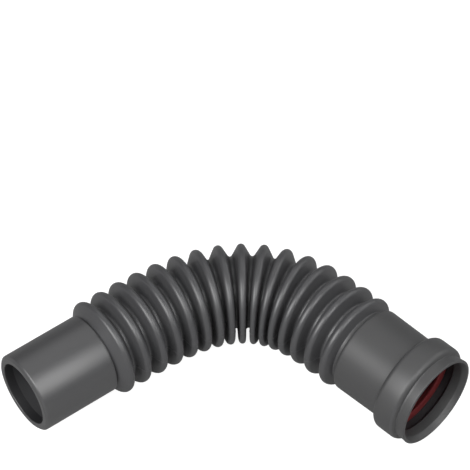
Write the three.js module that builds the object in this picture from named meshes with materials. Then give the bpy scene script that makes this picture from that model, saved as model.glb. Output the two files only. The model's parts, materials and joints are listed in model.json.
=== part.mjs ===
// Bendable connector for a 50 mm waste pipe: a plain spigot, sixteen moulded convolutions and a
// push-fit socket with a rubber lip seal, lying on flat ground in an arch. Millimetres, +Z up.
import * as THREE from 'three';

// Driving sizes of the bellows
const rib = {
  count: 16,
  pitch: 12.6, // crest to crest where the hose is straight
  crest: 30.3, // outer radius over the crests
  valley: 22.2, // outer radius in the valleys where the hose is straight
  middle: 26.2, // radius at which the width of a fold is taken
  rounds: 4.5, // rounding of a crest and of a valley, together
  noseShare: 0.82, // the crest's share of it
  band: 3.4, // width of the stiff band along each crest
  wall: 1.2, // how far the inside lies below the outside
  slip: 0.74, // how far a flank's inside lies behind its outside
  knee: 0.85, // how far along a rounding the facets meet
  innerKnee: 0.8, // the same inside, as a share of the way from crest to valley
};
const bend = {
  peak: 9.25, // degrees that the tightest fold adds to the rest
  tightest: 10, // number of that fold
  before: 9.3, // folds towards the spigot over which the bend dies away
  after: 5.6, // folds towards the socket over which it does
  everywhere: 0.75, // degrees in every fold
  neutral: 12.2, // distance from the centreline to the line that keeps its length
};
const gap = 0.3; // clearance between neighbouring pieces
const flats = 18; // sides round the bellows
const turnedFlats = 48; // sides round the turned ends and the seal

// Driving sizes of the ends, measured outwards from the plane of the nearest crest
const spigot = {
  radius: 25,
  end: 57.8,
  rimRound: 2.5, // outer rounding of the rim
  rimBore: 20,
  rimChamfer: 0.8,
  rimDepth: 6, // length of the thickened rim
  bore: 21.6,
  boreStart: 43.2,
};
const socket = {
  valley: 24, // groove between the last convolution and the tube
  valleyAt: 6.3,
  shoulderAt: 6.9,
  shoulder: 4.2, // rounding from the groove up to the tube
  radius: 27.8,
  radiusAtBead: 27.3,
  throat: 22.4, // bore just behind the pipe stop
  throatAt: 10.5,
  stopAt: 12, // flat step that the end of an inserted pipe meets
  bore: 25.6,
  boreEnd: 42.6,
  bead: 31.8, // collar that holds the seal
  beadAt: 41.4,
  beadRound: 3.4,
  beadEnd: 53.9,
  neck: 28.9, // shallow groove between the collar and the lip
  neckAt: 58.2,
  lipAt: 59.4,
  lip: 29.6,
  lipRound: 0.6,
  end: 64.8,
  rimInner: 27.9,
  mouth: 26.4,
  chamferAt: 61.4,
  groove: 29.9, // the seal's seat
  grooveStart: 43.4,
  grooveEnd: 53.2,
  grooveRim: 55.6,
};
const seal = {
  start: 44,
  front: 50.3,
  heel: 27.8, // inner radius at the seal's back edge
  inner: 27.2,
  web: 47.6, // where the lip leaves the ring
  lip: 24.4,
  lipAt: 47.2,
  lipBack: 45.8,
  lipThick: 0.3,
};

// Small turns in degrees that set the bead and two convolutions on the ground
const rest = { aboutX: -0.612, aboutY: -0.324 };

const plastic = new THREE.MeshStandardMaterial({ color: '#59595c', roughness: 0.5, metalness: 0 });
const plasticFold = new THREE.MeshStandardMaterial({ color: '#4c4c4f', roughness: 0.55, metalness: 0 });
const rubber = new THREE.MeshStandardMaterial({ color: '#8a2022', roughness: 0.6, metalness: 0 });

const halfPitch = rib.pitch / 2;

// The wall from a crest to the valley that lies `width` beside it: a round nose, a straight flank
// and a fillet. It keeps its length, so a fold that is opened gets shallower and one that is
// pressed together gets deeper. A wide fold keeps its roundings, and in a narrow one they shrink.
function wallOf(width) {
  const length = Math.hypot(halfPitch, rib.crest - rib.valley);
  const depth = Math.sqrt(length ** 2 - width ** 2);
  const valley = rib.crest - depth;
  const rounds = Math.min(rib.rounds, width);
  const nose = rounds * rib.noseShare;
  const fillet = rounds - nose;
  const drop = depth - rounds;
  const lean = Math.atan2(width, drop) - Math.asin(rounds / Math.hypot(width, drop));
  const noseEnd = nose * Math.cos(lean);
  const filletStart = width - fillet * Math.cos(lean);
  return { width, valley, nose, fillet, lean, noseEnd, filletStart };
}

// Outer radius of that wall at a distance x from the crest
function outside(x, { width, valley, nose, fillet, noseEnd, filletStart }) {
  const onNose = (d) => rib.crest - nose + Math.sqrt(nose ** 2 - d ** 2);
  const onFillet = (d) => valley + fillet - Math.sqrt(fillet ** 2 - (width - d) ** 2);
  if (x <= noseEnd) return onNose(x);
  if (x >= filletStart) return onFillet(Math.min(x, width));
  return THREE.MathUtils.mapLinear(x, noseEnd, filletStart, onNose(noseEnd), onFillet(filletStart));
}

function inside(x, wall) {
  return outside(Math.min(x + rib.slip, wall.width), wall) - rib.wall;
}

const straight = wallOf(halfPitch);

// Bend in radians of the fold between crests k and k + 1
function foldAngle(k) {
  const away = k - bend.tightest;
  const reach = away < 0 ? bend.before : bend.after;
  const share = Math.abs(away) < reach ? (1 + Math.cos((Math.PI * away) / reach)) / 2 : 0;
  return THREE.MathUtils.degToRad(bend.everywhere + bend.peak * share);
}

// A point given along and across a frame that lies in the plane of the bend
function inFrame(frame, along, across) {
  const c = Math.cos(frame.heading);
  const s = Math.sin(frame.heading);
  return new THREE.Vector2(frame.x + along * c - across * s, frame.y + along * s + across * c);
}

// One frame per crest. Each fold turns about a pivot on the line that keeps its length.
function layCrests() {
  const middle = rib.count / 2;
  let heading = foldAngle(middle) / 2;
  for (let k = 1; k < middle; k++) heading += foldAngle(k);
  const frames = [{ x: 0, y: 0, heading }];
  for (let k = 1; k < rib.count; k++) {
    const before = frames[k - 1];
    const pivot = inFrame(before, halfPitch, bend.neutral);
    const turned = { x: pivot.x, y: pivot.y, heading: before.heading - foldAngle(k) };
    const after = inFrame(turned, halfPitch, -bend.neutral);
    frames.push({ x: after.x, y: after.y, heading: turned.heading });
  }
  return frames;
}

const crests = layCrests();

// Radius of the arc that the centreline of fold k follows, square to both crests' planes
const arcRadius = (k) => halfPitch / Math.tan(foldAngle(k) / 2) - bend.neutral;

// A point of the hose: u counts crests along it, across points to the outside of the bend
function hosePoint(u, across, up) {
  const k = THREE.MathUtils.clamp(Math.floor(u), 1, rib.count);
  const before = crests[k - 1];
  const share = u - k;
  if (share <= 0 || k === rib.count) {
    const end = inFrame(before, share * rib.pitch, across);
    return [end.x, end.y, up];
  }
  const radius = arcRadius(k);
  const centre = inFrame(before, 0, -radius);
  const turned = { x: centre.x, y: centre.y, heading: before.heading - foldAngle(k) * share };
  const point = inFrame(turned, 0, radius + across);
  return [point.x, point.y, up];
}

// Millimetres from crest k to the next at a distance across the hose. Before the first crest and
// after the last the hose is straight.
function pitchAt(k, across) {
  const bent = k >= 1 && k < rib.count;
  return bent ? foldAngle(k) * (arcRadius(k) + across) : rib.pitch;
}

// The wall from a crest into fold k, at a turn round the hose
function foldWall(k, turn) {
  return wallOf(pitchAt(k, rib.middle * Math.cos(turn)) / 2);
}

// Half the width of a crest's band, which is narrower where the fold beside it is pressed together
const bandEdge = (wall) => ((rib.band / 2) * wall.width) / halfPitch;

// A closed ring round the hose. sectionAt gives its corners at a turn round the hose, each one as
// [u, radius, inset in millimetres].
function ringGeometry(sectionAt) {
  const positions = [];
  const faces = [];
  for (let i = 0; i < flats; i++) {
    const turn = (2 * Math.PI * (i + 0.5)) / flats;
    const next = (i + 1) % flats;
    const section = sectionAt(turn);
    const corners = section.length;
    section.forEach(([u, radius, inset], j) => {
      const across = radius * Math.cos(turn);
      const shifted = u + inset / pitchAt(Math.floor(u), across);
      positions.push(...hosePoint(shifted, across, radius * Math.sin(turn)));
      const here = i * corners + j;
      const along = i * corners + ((j + 1) % corners);
      const round = next * corners + j;
      const both = next * corners + ((j + 1) % corners);
      faces.push(here, round, along, along, round, both);
    });
  }
  const geometry = new THREE.BufferGeometry();
  geometry.setAttribute('position', new THREE.Float32BufferAttribute(positions, 3));
  geometry.setIndex(faces);
  geometry.computeVertexNormals();
  return geometry;
}

function named(name, geometry, material) {
  const mesh = new THREE.Mesh(geometry, material);
  mesh.name = name;
  return mesh;
}

const numbered = (word, k) => `${word}_${String(k).padStart(2, '0')}`;

// The stiff band along crest k
function convolution(k) {
  const share = rib.band / 2 / rib.pitch;
  const sectionAt = (turn) => {
    const before = foldWall(k - 1, turn);
    const after = foldWall(k, turn);
    return [
      [k - share, outside(bandEdge(before), before), 0],
      [k, rib.crest, 0],
      [k + share, outside(bandEdge(after), after), 0],
      [k + share, inside(bandEdge(after), after), 0],
      [k - share, inside(bandEdge(before), before), 0],
    ];
  };
  return named(numbered('convolution', k), ringGeometry(sectionAt), plastic);
}

// The thin fold between the bands of crests k and k + 1, which bends as a living hinge
function fold(k) {
  const sectionAt = (turn) => {
    const wall = foldWall(k, turn);
    const edge = bandEdge(wall);
    const toValley = wall.width - wall.filletStart;
    const outer = [edge, rib.knee * wall.noseEnd, wall.width - rib.knee * toValley];
    const inner = [edge, rib.innerKnee * wall.width];
    const near = (x, radius) => [k + x / wall.width / 2, radius, x === edge ? gap : 0];
    const far = (x, radius) => [k + 1 - x / wall.width / 2, radius, x === edge ? -gap : 0];
    return [
      ...outer.map((x) => near(x, outside(x, wall))),
      ...outer.map((x) => far(x, outside(x, wall))).reverse(),
      ...inner.map((x) => far(x, inside(x, wall))),
      ...inner.map((x) => near(x, inside(x, wall))).reverse(),
    ];
  };
  return named(numbered('fold', k), ringGeometry(sectionAt), plasticFold);
}

// Corners of a rounded edge, from one tangent point to the other
function roundedCorner(radius, along, round, from, to, steps) {
  return Array.from({ length: steps + 1 }, (_, i) => {
    const angle = THREE.MathUtils.degToRad(from + ((to - from) * i) / steps);
    return [radius + round * Math.cos(angle), along + round * Math.sin(angle)];
  });
}

// A turned piece, given as corners [radius, distance outwards from the crest's plane]
function turned(name, corners, frame, outwards, material) {
  const outline = [...corners, corners[0]].map(([r, d]) => new THREE.Vector2(r, d));
  const mesh = named(name, new THREE.LatheGeometry(outline, turnedFlats), material);
  mesh.position.set(frame.x, frame.y, 0);
  mesh.rotation.z = frame.heading - outwards * (Math.PI / 2);
  return mesh;
}

// Where an end begins, outwards from the plane of its crest
const endStart = rib.band / 2 + gap;

// The flank that carries an end on the first or last crest
function endFlank(foot) {
  const { noseEnd, lean } = straight;
  const knee = rib.knee * noseEnd;
  const footAt = noseEnd + (outside(noseEnd, straight) - foot) * Math.tan(lean);
  return [
    [outside(endStart, straight), endStart],
    [outside(knee, straight), knee],
    [foot, footAt],
  ];
}

// The inside of that flank, from the valley back to the band
function endFlankInside() {
  return [
    [inside(halfPitch, straight), halfPitch],
    [inside(endStart, straight), endStart],
  ];
}

function spigotEnd() {
  const { radius, end, rimRound, rimBore, rimChamfer, rimDepth, bore, boreStart } = spigot;
  const corners = [
    ...endFlank(radius),
    ...roundedCorner(radius - rimRound, end - rimRound, rimRound, 0, 90, 3),
    [rimBore + rimChamfer, end],
    [rimBore, end - rimChamfer],
    [rimBore, end - rimDepth],
    [bore, boreStart],
    [bore, rib.pitch],
    ...endFlankInside(),
  ];
  return turned('spigot', corners, crests[0], -1, plastic);
}

function socketEnd() {
  const s = socket;
  const corners = [
    ...endFlank(s.valley),
    [s.valley, s.valleyAt],
    ...roundedCorner(s.radius - s.shoulder, s.shoulderAt + s.shoulder, s.shoulder, -70, 0, 3),
    [s.radiusAtBead, s.beadAt],
    ...roundedCorner(s.bead - s.beadRound, s.beadAt + s.beadRound, s.beadRound, -75, 0, 3),
    ...roundedCorner(s.bead - s.beadRound, s.beadEnd, s.beadRound, 0, 60, 2),
    [s.neck, s.neckAt],
    [s.neck, s.lipAt],
    [s.lip, s.end - s.lipRound],
    [s.lip - s.lipRound, s.end],
    [s.rimInner, s.end],
    [s.mouth, s.chamferAt],
    [s.mouth, s.grooveRim],
    [s.groove, s.grooveEnd],
    [s.groove, s.grooveStart],
    [s.bore, s.boreEnd],
    [s.bore, s.stopAt],
    [s.throat, s.stopAt],
    [inside(halfPitch, straight), s.throatAt],
    ...endFlankInside(),
  ];
  return turned('socket', corners, crests[rib.count - 1], 1, plastic);
}

function lipSeal() {
  const { start, front, heel, inner, web, lip, lipAt, lipBack, lipThick } = seal;
  const outer = socket.groove - gap;
  const corners = [
    [outer, start],
    [outer, front],
    [inner, front],
    [lip, lipAt],
    [lip + lipThick, lipBack],
    [inner, web],
    [heel, start],
  ];
  return turned('lip_seal', corners, crests[rib.count - 1], 1, rubber);
}

function connector() {
  const hose = new THREE.Group();
  hose.add(spigotEnd(), socketEnd(), lipSeal());
  for (let k = 1; k <= rib.count; k++) hose.add(convolution(k));
  for (let k = 1; k < rib.count; k++) hose.add(fold(k));
  return hose;
}

// Set the hose down: turned onto its rest points, centred over the origin, lowest point at zero
function setDown(hose) {
  const ground = new THREE.Group();
  hose.rotation.set(THREE.MathUtils.degToRad(rest.aboutX), THREE.MathUtils.degToRad(rest.aboutY), 0);
  ground.add(hose);
  const box = new THREE.Box3().setFromObject(hose, true);
  const centre = box.getCenter(new THREE.Vector3());
  hose.position.set(-centre.x, -centre.y, -box.min.z);
  return ground;
}

export default setDown(connector());
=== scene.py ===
# Bendable connector for a 50 mm waste pipe, lying in an arch: a smooth spigot, a moulded bellows
# of sixteen convolutions and a push-fit socket with a red lip seal. All places come from the frame.
import json
import math

import bmesh
import bpy
from mathutils import Matrix, Vector


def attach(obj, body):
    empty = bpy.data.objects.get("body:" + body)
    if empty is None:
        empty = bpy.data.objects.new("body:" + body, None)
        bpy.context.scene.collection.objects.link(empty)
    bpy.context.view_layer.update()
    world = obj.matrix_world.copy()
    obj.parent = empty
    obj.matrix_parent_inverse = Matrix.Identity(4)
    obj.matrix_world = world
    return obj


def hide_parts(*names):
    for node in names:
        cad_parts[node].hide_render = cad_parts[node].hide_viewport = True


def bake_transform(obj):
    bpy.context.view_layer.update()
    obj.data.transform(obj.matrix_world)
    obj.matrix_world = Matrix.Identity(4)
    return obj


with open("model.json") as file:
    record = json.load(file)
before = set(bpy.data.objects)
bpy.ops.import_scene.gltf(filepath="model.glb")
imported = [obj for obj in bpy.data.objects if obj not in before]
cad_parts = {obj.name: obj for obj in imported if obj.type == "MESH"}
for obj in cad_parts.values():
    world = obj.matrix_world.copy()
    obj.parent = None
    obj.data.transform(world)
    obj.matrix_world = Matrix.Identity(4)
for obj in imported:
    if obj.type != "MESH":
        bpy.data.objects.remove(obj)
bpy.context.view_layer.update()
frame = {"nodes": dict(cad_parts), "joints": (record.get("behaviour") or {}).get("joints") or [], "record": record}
print("frame loaded with", len(frame["nodes"]), "nodes")

mm = 0.001

# Where the crests lie

hose = {
    "crests": 16,
    "pitch": 12.6 * mm,  # crest to crest where the hose is straight
    "neutral": 12.2 * mm,  # from the centreline to the line that keeps its length
}
joints = {joint["name"]: joint for joint in frame["joints"]}
mounts = {mount["name"]: mount for mount in frame["record"]["mounts"]}
up = Vector(joints["bend_01"]["axis"]).normalized()


def layCrests():
    # Each fold's pivot lies halfway between its crests, on the line that keeps its length
    last = hose["crests"]
    pivots = [Vector(joints[f"bend_{k:02d}"]["pos_m"]) for k in range(1, last)]
    along = [-Vector(mounts["spigot_end"]["axis"])]
    along += [(after - before).normalized() for before, after in zip(pivots, pivots[1:])]
    along += [Vector(mounts["socket_rim"]["axis"])]
    crests = {}
    for k in range(1, last + 1):
        direction = along[k - 1]
        direction = (direction - up * direction.dot(up)).normalized()
        across = up.cross(direction)
        pivot = pivots[min(k, last - 1) - 1]
        step = -hose["pitch"] / 2 if k < last else hose["pitch"] / 2
        origin = pivot + direction * step - across * hose["neutral"]
        crests[k] = {"origin": origin, "along": direction, "across": across}
    return crests


crests = layCrests()


def layArcs():
    # The centreline of each fold is an arc that starts and ends square to its crests' planes
    arcs = {}
    for k in range(1, hose["crests"]):
        angle = crests[k]["along"].angle(crests[k + 1]["along"])
        radius = hose["pitch"] / 2 / math.tan(angle / 2) - hose["neutral"]
        centre = crests[k]["origin"] - crests[k]["across"] * radius
        arcs[k] = {"angle": angle, "radius": radius, "centre": centre}
    return arcs


arcs = layArcs()


def onArc(k, share, across, height):
    # A point of fold k, a share of the way from its first crest to its second
    arc = arcs[k]
    turned = arc["angle"] * share
    outwards = crests[k]["across"] * math.cos(turned) + crests[k]["along"] * math.sin(turned)
    return arc["centre"] + outwards * (arc["radius"] + across) + up * height


def onCrest(k, distance, across, height):
    # A point in the straight frame of a crest
    crest = crests[k]
    return crest["origin"] + crest["along"] * distance + crest["across"] * across + up * height


# Mesh helpers

creaseAngle = math.radians(32)  # edges sharper than this are shaded as edges
weldDistance = 1e-7
arcSteps = 6  # faces in a quarter turn of a rounded corner


def finishPiece(name, shape, materials):
    mesh = bpy.data.meshes.new(name)
    shape.to_mesh(mesh)
    shape.free()
    mesh.shade_smooth()
    mesh.set_sharp_from_angle(angle=creaseAngle)
    for material in materials:
        mesh.materials.append(material)
    piece = bpy.data.objects.new(name, mesh)
    bpy.context.scene.collection.objects.link(piece)
    return piece


def spunOutline(points, sides):
    # Spins a closed outline of (distance along, radius) round the x axis into a closed shell
    shape = bmesh.new()
    verts = [shape.verts.new((along, radius, 0)) for along, radius in points]
    edges = [shape.edges.new((verts[i - 1], verts[i])) for i in range(len(verts))]
    bmesh.ops.spin(shape, geom=verts + edges, cent=(0, 0, 0), axis=(1, 0, 0),
                   angle=2 * math.pi, steps=sides, use_merge=True, use_duplicate=False)
    bmesh.ops.remove_doubles(shape, verts=shape.verts, dist=weldDistance)
    bmesh.ops.recalc_face_normals(shape, faces=shape.faces)
    return shape


def roundedOutline(corners):
    # Corners are (distance along, radius, rounding), and a rounded one becomes an arc
    # Also returns the number of each corner's first point
    points, starts = [], []
    for i, (along, radius, rounding) in enumerate(corners):
        corner = Vector((along, radius))
        starts.append(len(points))
        if rounding <= 0:
            points.append(corner)
            continue
        before = (Vector(corners[i - 1][:2]) - corner).normalized()
        after = (Vector(corners[(i + 1) % len(corners)][:2]) - corner).normalized()
        half = before.angle(after) / 2
        centre = corner + (before + after).normalized() * rounding / math.sin(half)
        start = corner + before * rounding / math.tan(half) - centre
        turn = start.angle_signed(corner + after * rounding / math.tan(half) - centre)
        count = max(2, round(arcSteps * abs(turn) / (math.pi / 2)))
        for j in range(count + 1):
            points.append(centre + Matrix.Rotation(-turn * j / count, 2) @ start)
    return [tuple(point) for point in points], starts


# The moulded wall of the bellows

ribs = {
    "crest": 30.3 * mm,
    "valley": 22.2 * mm,  # where the hose is straight
    "middle": 26.2 * mm,  # radius at which the width of a fold is taken
    "rounds": 4.2 * mm,  # rounding of a crest and of a valley, together
    "noseShare": 0.62,  # the crest's share of it
    "wall": 1.2 * mm,
    "noseSteps": 12,
    "flankSteps": 3,
    "filletSteps": 6,
    "sides": 144,
    "evenness": 1.8,  # steps are finer towards the crest, so that its seam doesn't show
    "bendShare": 0.98,  # of a fold's narrowest place, over which it bends
}
valleyStep, lastStep = 3, 6  # along a fold's outline, which starts at 0 on its first crest
outerRing, innerRing = 2, 1  # radii at which the two sides of its wall are spun
partingLine = {
    "height": 0.12 * mm,  # flash where the mould's halves meet, in the plane of the bend
    "halfWidth": 0.3 * mm,
}


def ribWall(width):
    # From a crest to the valley `width` beside it: a round nose, a straight flank and a fillet
    # The wall keeps its length, so an opened fold is shallower and a pressed one deeper
    length = math.hypot(hose["pitch"] / 2, ribs["crest"] - ribs["valley"])
    fullDepth = math.sqrt(length ** 2 - width ** 2)
    rounds = min(ribs["rounds"], width)
    nose = rounds * ribs["noseShare"]
    fillet = rounds - nose
    depth = fullDepth - rounds
    lean = math.atan2(width, depth) - math.asin(rounds / math.hypot(width, depth))
    valley = ribs["crest"] - fullDepth
    return {"width": width, "nose": nose, "fillet": fillet, "lean": lean, "valley": valley}


def wallPoint(wall, q, inset):
    # q runs 0-1 over the nose, 1-2 down the flank and 2-3 round the fillet
    nose, fillet, lean = wall["nose"], wall["fillet"], wall["lean"]
    noseCentre = Vector((0, ribs["crest"] - nose))
    filletCentre = Vector((wall["width"], wall["valley"] + fillet))
    if q <= 1:
        angle = q ** ribs["evenness"] * (math.pi / 2 - lean)
        normal = Vector((math.sin(angle), math.cos(angle)))
        return noseCentre + normal * (nose - inset)
    if q >= 2:
        angle = (valleyStep - q) * (math.pi / 2 - lean)
        normal = Vector((math.sin(angle), math.cos(angle)))
        return filletCentre - normal * (fillet + inset)
    normal = Vector((math.cos(lean), math.sin(lean)))
    noseEnd = noseCentre + normal * (nose - inset)
    filletStart = filletCentre - normal * (fillet + inset)
    return noseEnd.lerp(filletStart, q - 1)


def halfWidth(k, turn):
    # From a crest to the valley beside it, on the spoke at this turn
    return arcs[k]["angle"] * (arcs[k]["radius"] + ribs["middle"] * math.cos(turn)) / 2


def onPartingLine(turn):
    # Draws the spokes beside the parting line in to its width, and says where the flash stands
    spoke = 2 * math.pi / ribs["sides"]
    past = math.remainder(turn, math.pi)
    if abs(past) < spoke / 2:
        return turn, partingLine["height"]
    if abs(past) < spoke * 1.5:
        return turn - past + math.copysign(partingLine["halfWidth"] / ribs["middle"], past), 0
    return turn, 0


def unitSteps():
    # Where the outline has a vertex, from a crest to the valley and on to the next crest
    near = [i / ribs["noseSteps"] for i in range(ribs["noseSteps"])]
    near += [1 + i / ribs["flankSteps"] for i in range(ribs["flankSteps"])]
    near += [2 + i / ribs["filletSteps"] for i in range(ribs["filletSteps"])]
    return near + [valleyStep] + [lastStep - q for q in reversed(near)]


def buildFold(k, material):
    # Spun straight first, with the steps as its length, then moved onto the wall and the bend
    steps = unitSteps()
    outline = [(q, outerRing) for q in steps] + [(q, innerRing) for q in reversed(steps)]
    shape = spunOutline(outline, ribs["sides"])
    walls = {}  # one for each spoke
    for vert in shape.verts:
        q, side, height = vert.co
        turn, flash = onPartingLine(math.atan2(height, side))
        outside = math.hypot(side, height) > (outerRing + innerRing) / 2
        inset = -flash if outside else ribs["wall"]
        spoke = round(turn, 4)
        if spoke not in walls:
            walls[spoke] = ribWall(halfWidth(k, turn))
        wall = walls[spoke]
        x, radius = wallPoint(wall, min(q, lastStep - q), inset)
        share = x / wall["width"] / 2
        share = share if q <= valleyStep else 1 - share
        vert.co = onArc(k, share, radius * math.cos(turn), radius * math.sin(turn))
    bmesh.ops.recalc_face_normals(shape, faces=shape.faces)
    fold = finishPiece(f"bellows_{k:02d}", shape, [material])
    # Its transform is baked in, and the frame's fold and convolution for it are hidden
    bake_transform(fold)
    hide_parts(f"fold_{k:02d}", f"convolution_{k:02d}")


# Materials

def linear(hexColour):
    channels = [int(hexColour[i:i + 2], 16) / 255 for i in (1, 3, 5)]
    return [c / 12.92 if c <= 0.04045 else ((c + 0.055) / 1.055) ** 2.4 for c in channels] + [1]


def addNode(tree, kind, settings, links):
    node = tree.nodes.new(kind)
    for name, value in settings.items():
        if name in node.inputs:
            node.inputs[name].default_value = value
        else:
            setattr(node, name, value)
    for name, source in links.items():
        tree.links.new(source, node.inputs[name])
    return node


# What all the mouldings share
moulding = {
    "ior": 1.6,
    "cloudDetail": 4.0,
    "polishDetail": 3.0,
    "polishFineness": 2.5,  # patches of more and less polish, against the clouds of pigment
    "grainDetail": 2.0,
}
smoothPolypropylene = {
    "name": "smooth moulded polypropylene",  # blown against a polished mould: soft, wide highlights
    "colour": "#404042",
    "cloudColour": "#464647",  # pigment drawn out as the wall stretches
    "cloudSize": 14 * mm,
    "roughness": 0.42,
    "roughnessSpread": 0.03,
    "gloss": 0.62,
    "grainSize": 0.9 * mm,  # real grain is about 0.1 mm, too fine to show
    "grainHeight": 0.006 * mm,
}
polishedPolypropylene = {
    "name": "polished polypropylene sealing face",  # so that a seal sits tight: a clear sheen
    "colour": "#3b3b3c",
    "cloudColour": "#404041",
    "cloudSize": 26 * mm,
    "roughness": 0.42,
    "roughnessSpread": 0.02,
    "gloss": 0.9,
    "grainSize": 0.9 * mm,
    "grainHeight": 0.004 * mm,
}
grainedPolypropylene = {
    "name": "grained moulded polypropylene",  # spark-eroded mould: matt, even, hardly any highlight
    "colour": "#3e3e3f",
    "cloudColour": "#434343",
    "cloudSize": 22 * mm,
    "roughness": 0.5,
    "roughnessSpread": 0.05,
    "gloss": 0.62,
    "grainSize": 0.8 * mm,
    "grainHeight": 0.014 * mm,
}
# Painted shade: the insides of the spigot and the socket get a near-black colour for the shade that falls in them
paintedShadeInteriorLook = {
    "name": "polypropylene interior with painted shade",  # near-black colour is painted shade of the bores and the socket's inside, with a soft sheen
    "colour": "#1d1d1f",
    "cloudColour": "#232325",
    "cloudSize": 18 * mm,
    "roughness": 0.5,
    "roughnessSpread": 0.05,
    "gloss": 0.62,
    "grainSize": 1.2 * mm,
    "grainHeight": 0.01 * mm,
}
sealRubber = {
    "name": "moulded red EPDM rubber",  # dull, slightly waxy red
    "colour": "#6c1a1d",
    "cloudColour": "#792022",
    "cloudSize": 9 * mm,
    "roughness": 0.6,
    "roughnessSpread": 0.08,
    "gloss": 0.62,
    "grainSize": 0.7 * mm,
    "grainHeight": 0.01 * mm,
}


def mouldedMaterial(look):
    material = bpy.data.materials.new(look["name"])
    material.use_nodes = True
    tree = material.node_tree
    tree.nodes.clear()
    place = addNode(tree, "ShaderNodeTexCoord", {}, {}).outputs["Object"]
    cloud = addNode(tree, "ShaderNodeTexNoise",
                    {"Scale": 1 / look["cloudSize"], "Detail": moulding["cloudDetail"]},
                    {"Vector": place}).outputs["Fac"]
    colour = addNode(tree, "ShaderNodeMix", {"data_type": "RGBA"}, {"Factor": cloud})
    colour.inputs[6].default_value = linear(look["colour"])  # A of a colour mix
    colour.inputs[7].default_value = linear(look["cloudColour"])  # B of it
    polish = addNode(tree, "ShaderNodeTexNoise",
                     {"Scale": moulding["polishFineness"] / look["cloudSize"],
                      "Detail": moulding["polishDetail"]}, {"Vector": place}).outputs["Fac"]
    roughness = addNode(tree, "ShaderNodeMapRange",
                        {"To Min": look["roughness"] - look["roughnessSpread"],
                         "To Max": look["roughness"] + look["roughnessSpread"]},
                        {"Value": polish}).outputs["Result"]
    grain = addNode(tree, "ShaderNodeTexNoise",
                    {"Scale": 1 / look["grainSize"], "Detail": moulding["grainDetail"]},
                    {"Vector": place}).outputs["Fac"]
    relief = addNode(tree, "ShaderNodeBump",
                     {"Strength": 1.0, "Distance": look["grainHeight"]}, {"Height": grain})
    shader = addNode(tree, "ShaderNodeBsdfPrincipled",
                     {"IOR": moulding["ior"], "Specular IOR Level": look["gloss"],
                      "Metallic": 0.0},
                     {"Base Color": colour.outputs[2], "Roughness": roughness,
                      "Normal": relief.outputs["Normal"]})
    addNode(tree, "ShaderNodeOutputMaterial", {}, {"Surface": shader.outputs["BSDF"]})
    return material


smoothPlastic = mouldedMaterial(smoothPolypropylene)
polishedPlastic = mouldedMaterial(polishedPolypropylene)
grainedPlastic = mouldedMaterial(grainedPolypropylene)
# the material that carries the painted shade of the interiors
paintedShadeInteriorPlastic = mouldedMaterial(paintedShadeInteriorLook)
redRubber = mouldedMaterial(sealRubber)

for k in range(1, hose["crests"]):
    buildFold(k, smoothPlastic)
print("bellows built")


# The turned ends, in millimetres outwards from the plane of the nearest crest

turnedSides = 144


def endNose(foot, footRound, flankLean=None):
    # The crest's nose and the flank that an end grows out of, down to a foot radius
    wall = ribWall(hose["pitch"] / 2)
    lean = math.radians(flankLean) if flankLean else wall["lean"]
    reach = ((math.pi / 2 - lean) / (math.pi / 2 - wall["lean"])) ** (1 / ribs["evenness"])
    steps = [reach * i / ribs["noseSteps"] for i in range(ribs["noseSteps"] + 1)]
    nose = [wallPoint(wall, q, 0) / mm for q in steps]
    last = nose[-1]
    footAt = last.x + (last.y - foot) * math.tan(lean)
    return [(point.x, point.y, 0) for point in nose] + [(footAt, foot, footRound)]


def endNoseInside():
    # The same from inside, from the valley back to the crest
    wall = ribWall(hose["pitch"] / 2)
    steps = [3, 2.5, 2, 1, 0.8, 0.6, 0.4, 0.2, 0]
    points = [wallPoint(wall, q, ribs["wall"]) / mm for q in steps]
    return [(point.x, point.y, 0) for point in points]


def pointKey(along, radius):
    # The same for a point of an outline and for every vertex spun from it
    return round(along / mm, 3), round(radius / mm, 3)


def buildEnd(name, sections, crest, outwards, body, replaced):
    # Sections are (material, corners), in the order of the outline
    points, starts = roundedOutline([corner for _, corners in sections for corner in corners])
    points = [(along * mm, radius * mm) for along, radius in points]
    shape = spunOutline(points, turnedSides)
    first = 0
    for number in range(1, len(sections)):
        first += len(sections[number - 1][1])
        since = {pointKey(*point) for point in points[starts[first] - 1:]}
        for face in shape.faces:
            keys = (pointKey(vert.co.x, math.hypot(vert.co.y, vert.co.z)) for vert in face.verts)
            if all(key in since for key in keys):
                face.material_index = number
    for vert in shape.verts:
        along, across, height = vert.co
        vert.co = onCrest(crest, along * outwards, across, height)
    bmesh.ops.recalc_face_normals(shape, faces=shape.faces)
    piece = finishPiece(name, shape, [material for material, _ in sections])
    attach(piece, body)
    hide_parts(*replaced)


spigot = {
    "flankLean": 36,  # degrees; the first convolution leans out more than the others
    "valley": 22.9,  # groove between it and the tube
    "shoulderAt": 7.7,
    "shoulderStep": 0.2,
    "radius": 25,
    "end": 57.8,
    "rimStart": 56.4,  # where the tube ends and the rim's bevel starts
    "rimFace": 23.2,
    "rimBore": 20,
    "rimDepth": 6,
    "bore": 21.6,
    "boreStart": 43.2,
}


def spigotSections():
    s = spigot
    return [
        (smoothPlastic, [
            *endNose(s["valley"], 0.4, s["flankLean"]),
            (s["shoulderAt"] - s["shoulderStep"], s["valley"], 0.3),
        ]),
        (polishedPlastic, [
            (s["shoulderAt"], s["radius"], 0.5),
            (s["rimStart"], s["radius"], 1.1),
            (s["end"], s["rimFace"], 0.5),
            (s["end"], s["rimBore"], 0.5),
        ]),
        # painted shade: the spigot's bore and the inside of its crest are coloured near-black
        (paintedShadeInteriorPlastic, [
            (s["end"] - s["rimDepth"], s["rimBore"], 0.8),
            (s["boreStart"], s["bore"], 1.5),
            (hose["pitch"] / mm, s["bore"], 1.0),
            *endNoseInside(),
        ]),
    ]


buildEnd("spigot_tube", spigotSections(), 1, -1, "spigot_end", ["spigot"])

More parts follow.
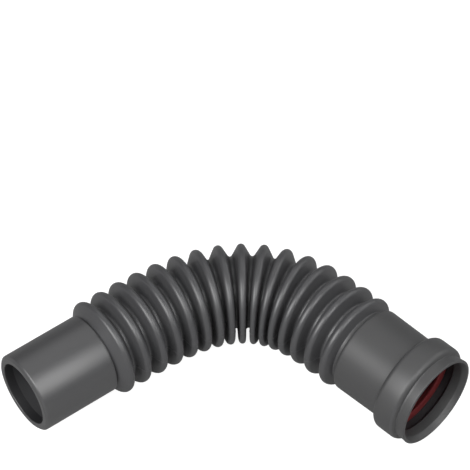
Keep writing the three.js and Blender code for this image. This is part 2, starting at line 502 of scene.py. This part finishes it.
socket = {
    "valley": 24,
    "valleyAt": 6.3,
    "shoulderAt": 6.9,
    "shoulderStep": 0.3,
    "shoulderRise": 0.4,
    "shoulderRound": 2.6,
    "radius": 27.8,
    "radiusAtBead": 27.3,
    "throat": 22.4,
    "throatEnd": 22.2,
    "throatAt": 10.5,
    "stopAt": 12,
    "bore": 25.6,
    "boreEnd": 42.6,
    "bead": 31.8,
    "beadAt": 41.4,
    "beadRound": 3.6,
    "beadEnd": 57.3,
    "neck": 28.9,
    "neckAt": 58.2,
    "lipAt": 59.4,
    "lip": 29.6,
    "end": 64.8,
    "rimInner": 27.9,
    "mouth": 26.4,
    "chamferAt": 61.4,
    "groove": 29.9,
    "grooveStart": 43.4,
    "grooveEnd": 53.2,
    "grooveRim": 55.6,
}


def socketSections():
    s = socket
    return [
        (smoothPlastic, endNose(s["valley"], 0.7)),
        (grainedPlastic, [
            (s["valleyAt"], s["valley"], 0.3),
            (s["shoulderAt"], s["valley"] + s["shoulderRise"], 0.3),
            (s["shoulderAt"] + s["shoulderStep"], s["radius"], s["shoulderRound"]),
            (s["beadAt"], s["radiusAtBead"], 0.35),
            (s["beadAt"], s["bead"], s["beadRound"]),
            (s["beadEnd"], s["bead"], s["beadRound"]),
            (s["neckAt"], s["neck"], 0.4),
            (s["lipAt"], s["neck"], 1.2),
            (s["end"], s["lip"], 0.7),
            (s["end"], s["rimInner"], 0.35),
            (s["chamferAt"], s["mouth"], 0.5),
            (s["grooveRim"], s["mouth"], 0.5),
        ]),
        # painted shade: the socket's groove, bore, stop, throat and inner crest are coloured near-black
        (paintedShadeInteriorPlastic, [
            (s["grooveEnd"], s["groove"], 0.4),
            (s["grooveStart"], s["groove"], 0.3),
            (s["boreEnd"], s["bore"], 0.4),
            (s["stopAt"], s["bore"], 0.4),
            (s["stopAt"], s["throat"], 0.4),
            (s["throatAt"], s["throatEnd"], 0.4),
            *endNoseInside(),
        ]),
    ]


buildEnd("socket_shell", socketSections(), hose["crests"], 1, "socket_end",
         ["socket", "convolution_16"])

seal = {
    "start": 44,
    "front": 49.3,
    "outer": 29.6,
    "heel": 27.8,
    "inner": 27.2,
    "web": 48.3,
    "lip": 24.4,
    "lipAt": 48.5,
    "lipBack": 47.3,
    "lipThick": 0.3,
}


def sealSections():
    s = seal
    return [(redRubber, [
        (s["start"], s["outer"], 0.5),
        (s["front"], s["outer"], 0.6),
        (s["front"], s["inner"], 0.6),
        (s["lipAt"], s["lip"], 0.12),
        (s["lipBack"], s["lip"] + s["lipThick"], 0.12),
        (s["web"], s["inner"], 0.5),
        (s["start"], s["heel"], 0.4),
    ])]


buildEnd("seal_ring", sealSections(), hose["crests"], 1, "socket_end", ["lip_seal"])
print("ends built")


# Floor, backdrop and light

studio = {
    "floorSize": 6.0,
    "floorColour": "#9c9c9c",
    "floorGlow": 0.9,  # white that the camera sees
    "floorMirrored": 0.05,  # the same in reflections, where the lit paper adds to it
    "ambient": 0.05,
    "ambientColour": "#f2f4f7",
    "backdropTop": 0.06,  # sine of the elevation up to which the white backdrop is mirrored
    "ceiling": 0.05,  # what reflections see above it
}
lampDistance = 1.4  # metres from the object to each softbox
lamps = [
    {"name": "left softbox", "azimuth": -138, "elevation": 46, "width": 1.43, "height": 0.85,
     "power": 20},
    {"name": "right softbox", "azimuth": -46, "elevation": 53, "width": 0.7, "height": 1.25,
     "power": 9.3},
    {"name": "side softbox", "azimuth": 20, "elevation": 30, "width": 1.37, "height": 0.91,
     "power": 4.3},
    {"name": "back softbox", "azimuth": 90, "elevation": 54, "width": 1.3, "height": 1.3,
     "power": 2.7},
]


def pathStrength(tree, direct, mirrored, other):
    # Strength for camera and transmission rays, for glossy rays and for all others
    path = addNode(tree, "ShaderNodeLightPath", {}, {}).outputs
    seen = addNode(tree, "ShaderNodeMath", {"operation": "MAXIMUM"}, {})
    tree.links.new(path["Is Camera Ray"], seen.inputs[0])
    tree.links.new(path["Is Transmission Ray"], seen.inputs[1])
    indirect = addNode(tree, "ShaderNodeMix", {"A": other}, {"Factor": path["Is Glossy Ray"]})
    if isinstance(mirrored, float):
        indirect.inputs["B"].default_value = mirrored
    else:
        tree.links.new(mirrored, indirect.inputs["B"])
    return addNode(tree, "ShaderNodeMix", {"B": direct},
                   {"Factor": seen.outputs[0], "A": indirect.outputs[0]}).outputs[0]


def buildFloor():
    bpy.ops.mesh.primitive_plane_add(size=studio["floorSize"])
    floor = bpy.context.active_object
    floor.name = "floor"
    material = bpy.data.materials.new("pale studio paper")  # seamless, no texture, faint shadow
    material.use_nodes = True
    tree = material.node_tree
    tree.nodes.clear()
    paper = addNode(tree, "ShaderNodeBsdfDiffuse", {"Color": linear(studio["floorColour"])}, {})
    strength = pathStrength(tree, studio["floorGlow"], studio["floorMirrored"], 0.0)
    glow = addNode(tree, "ShaderNodeEmission", {}, {"Strength": strength})
    both = addNode(tree, "ShaderNodeAddShader", {}, {})
    tree.links.new(paper.outputs[0], both.inputs[0])
    tree.links.new(glow.outputs[0], both.inputs[1])
    addNode(tree, "ShaderNodeOutputMaterial", {}, {"Surface": both.outputs[0]})
    floor.data.materials.append(material)


def buildWorld():
    world = bpy.data.worlds.new("studio")
    bpy.context.scene.world = world
    world.use_nodes = True
    tree = world.node_tree
    tree.nodes.clear()
    direction = addNode(tree, "ShaderNodeTexCoord", {}, {}).outputs["Generated"]
    height = addNode(tree, "ShaderNodeSeparateXYZ", {}, {"Vector": direction}).outputs["Z"]
    mirrored = addNode(tree, "ShaderNodeMapRange",
                       {"From Min": 0.0, "From Max": studio["backdropTop"], "To Min": 1.0,
                        "To Max": studio["ceiling"]}, {"Value": height}).outputs["Result"]
    strength = pathStrength(tree, 1.0, mirrored, studio["ambient"])
    sky = addNode(tree, "ShaderNodeBackground", {"Color": linear(studio["ambientColour"])},
                  {"Strength": strength})
    addNode(tree, "ShaderNodeOutputWorld", {}, {"Surface": sky.outputs[0]})


def buildLamp(look):
    light = bpy.data.lights.new(look["name"], "AREA")
    light.shape = "ELLIPSE"
    light.size, light.size_y = look["width"], look["height"]
    light.energy = look["power"]
    lamp = bpy.data.objects.new(look["name"], light)
    azimuth, elevation = math.radians(look["azimuth"]), math.radians(look["elevation"])
    level = math.cos(elevation)
    towards = Vector((math.cos(azimuth) * level, math.sin(azimuth) * level, math.sin(elevation)))
    lamp.location = towards * lampDistance
    lamp.rotation_euler = towards.to_track_quat("Z", "Y").to_euler()
    bpy.context.scene.collection.objects.link(lamp)


buildFloor()
buildWorld()
for look in lamps:
    buildLamp(look)
print("studio built")


# Camera

view = {
    "fold": 8,  # the fold that faces the camera
    "turn": -5.95,  # degrees from square to that fold
    "elevation": 52.1,
    "roll": 0.12,
    "distance": 1.7056,
    "aimRight": 1.308 * mm,
    "aimUp": 35.46 * mm,
    "lens": 216.03,
    "sensor": 36,
    "clipEnd": 20,
}


def buildCamera():
    k = view["fold"]
    along = (crests[k]["along"] + crests[k + 1]["along"]).normalized()
    across = up.cross(along)
    centre = Vector(joints[f"bend_{k:02d}"]["pos_m"]) - across * hose["neutral"]
    turn, elevation = math.radians(view["turn"]), math.radians(view["elevation"])
    level = across * math.cos(turn) - along * math.sin(turn)
    forward = level * math.cos(elevation) - up * math.sin(elevation)
    right = along * math.cos(turn) + across * math.sin(turn)
    right = Matrix.Rotation(math.radians(-view["roll"]), 3, forward) @ right
    upwards = right.cross(forward)
    camera = bpy.data.objects.new("camera", bpy.data.cameras.new("camera"))
    camera.data.lens = view["lens"]
    camera.data.sensor_width = view["sensor"]
    camera.data.clip_end = view["clipEnd"]
    position = centre - forward * view["distance"]
    aim = (centre + right * view["aimRight"] + upwards * view["aimUp"] - position).normalized()
    side = aim.cross(upwards).normalized()
    axes = Matrix((side, side.cross(aim), -aim)).transposed()
    camera.matrix_world = Matrix.Translation(position) @ axes.to_4x4()
    bpy.context.scene.collection.objects.link(camera)
    bpy.context.scene.camera = camera


buildCamera()
bpy.context.scene.view_settings.view_transform = "Standard"
